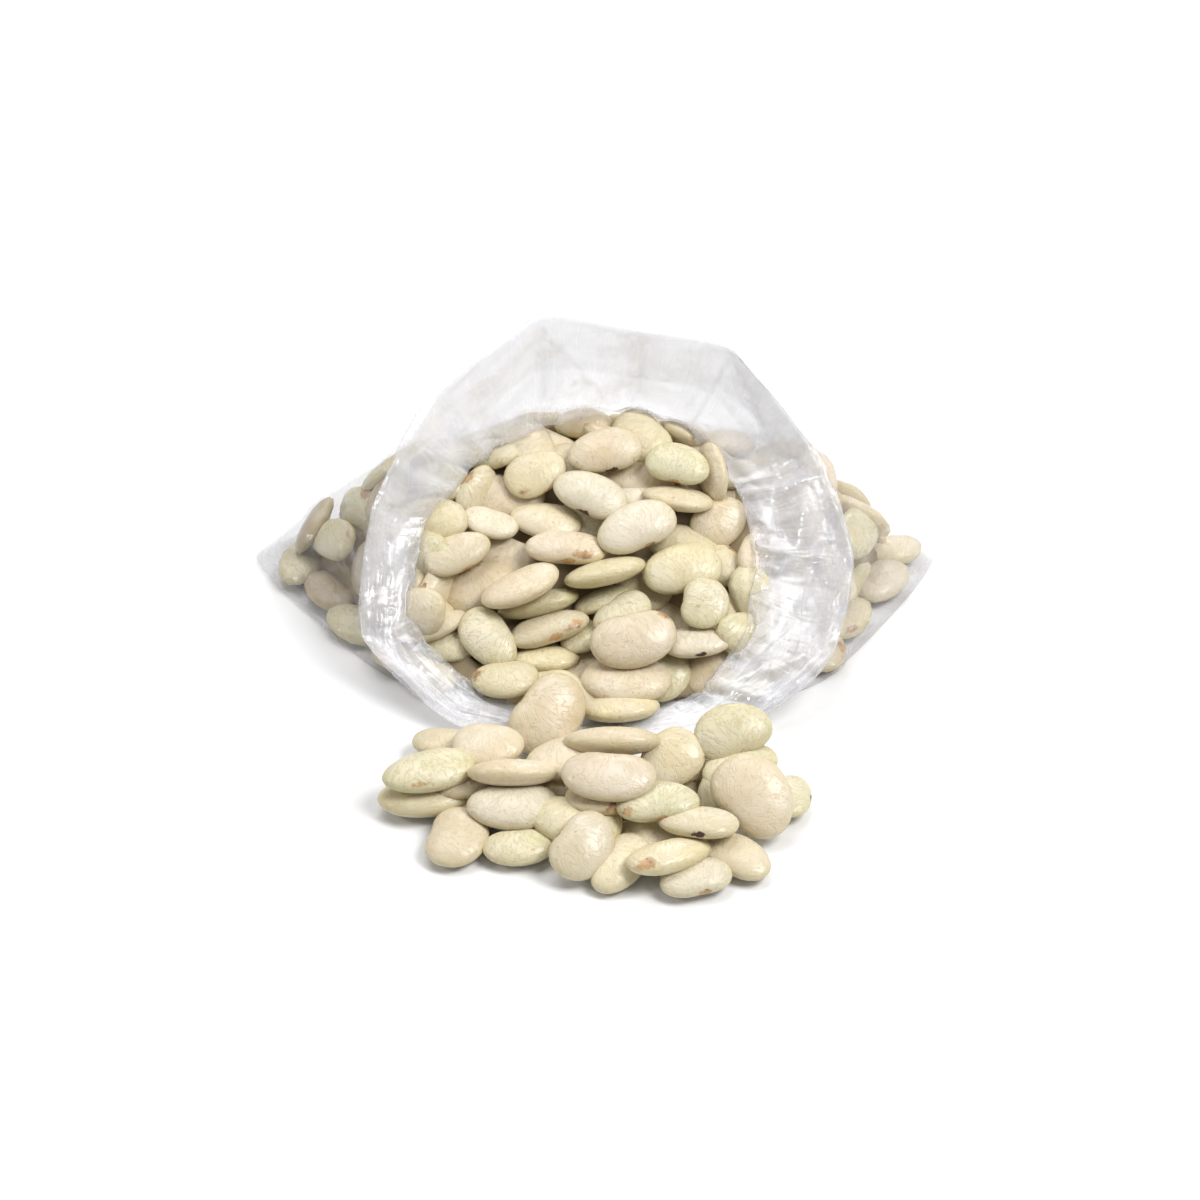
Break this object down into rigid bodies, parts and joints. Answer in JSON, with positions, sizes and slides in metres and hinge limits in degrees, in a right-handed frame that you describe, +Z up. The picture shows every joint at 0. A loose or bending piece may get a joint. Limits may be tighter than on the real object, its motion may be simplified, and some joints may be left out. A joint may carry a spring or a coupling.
{
  "type": "bag of dried beans",
  "caption": "Open clear plastic bag of large dried white beans, slumped on its bottom seam, mouth folded back, with beans run out over the front lip.",
  "frame": {"origin": "on the bag's flat underside, under the middle of the bean mass, on the floor", "axes": "+Z up, -Y towards the mouth and the beans that have run out, +X to the right seen from the mouth"},
  "size_m": [0.1977, 0.1917, 0.0775],
  "materials": {
    "film": "clear crumpled polythene film, slightly milky",
    "beans": "dry cream bean skin with a soft sheen"
  },
  "bodies": {
    "root": {"bag_film": "film", "beans_in_bag": "beans", "spilled_beans": "beans"}
  },
  "joints": []
}
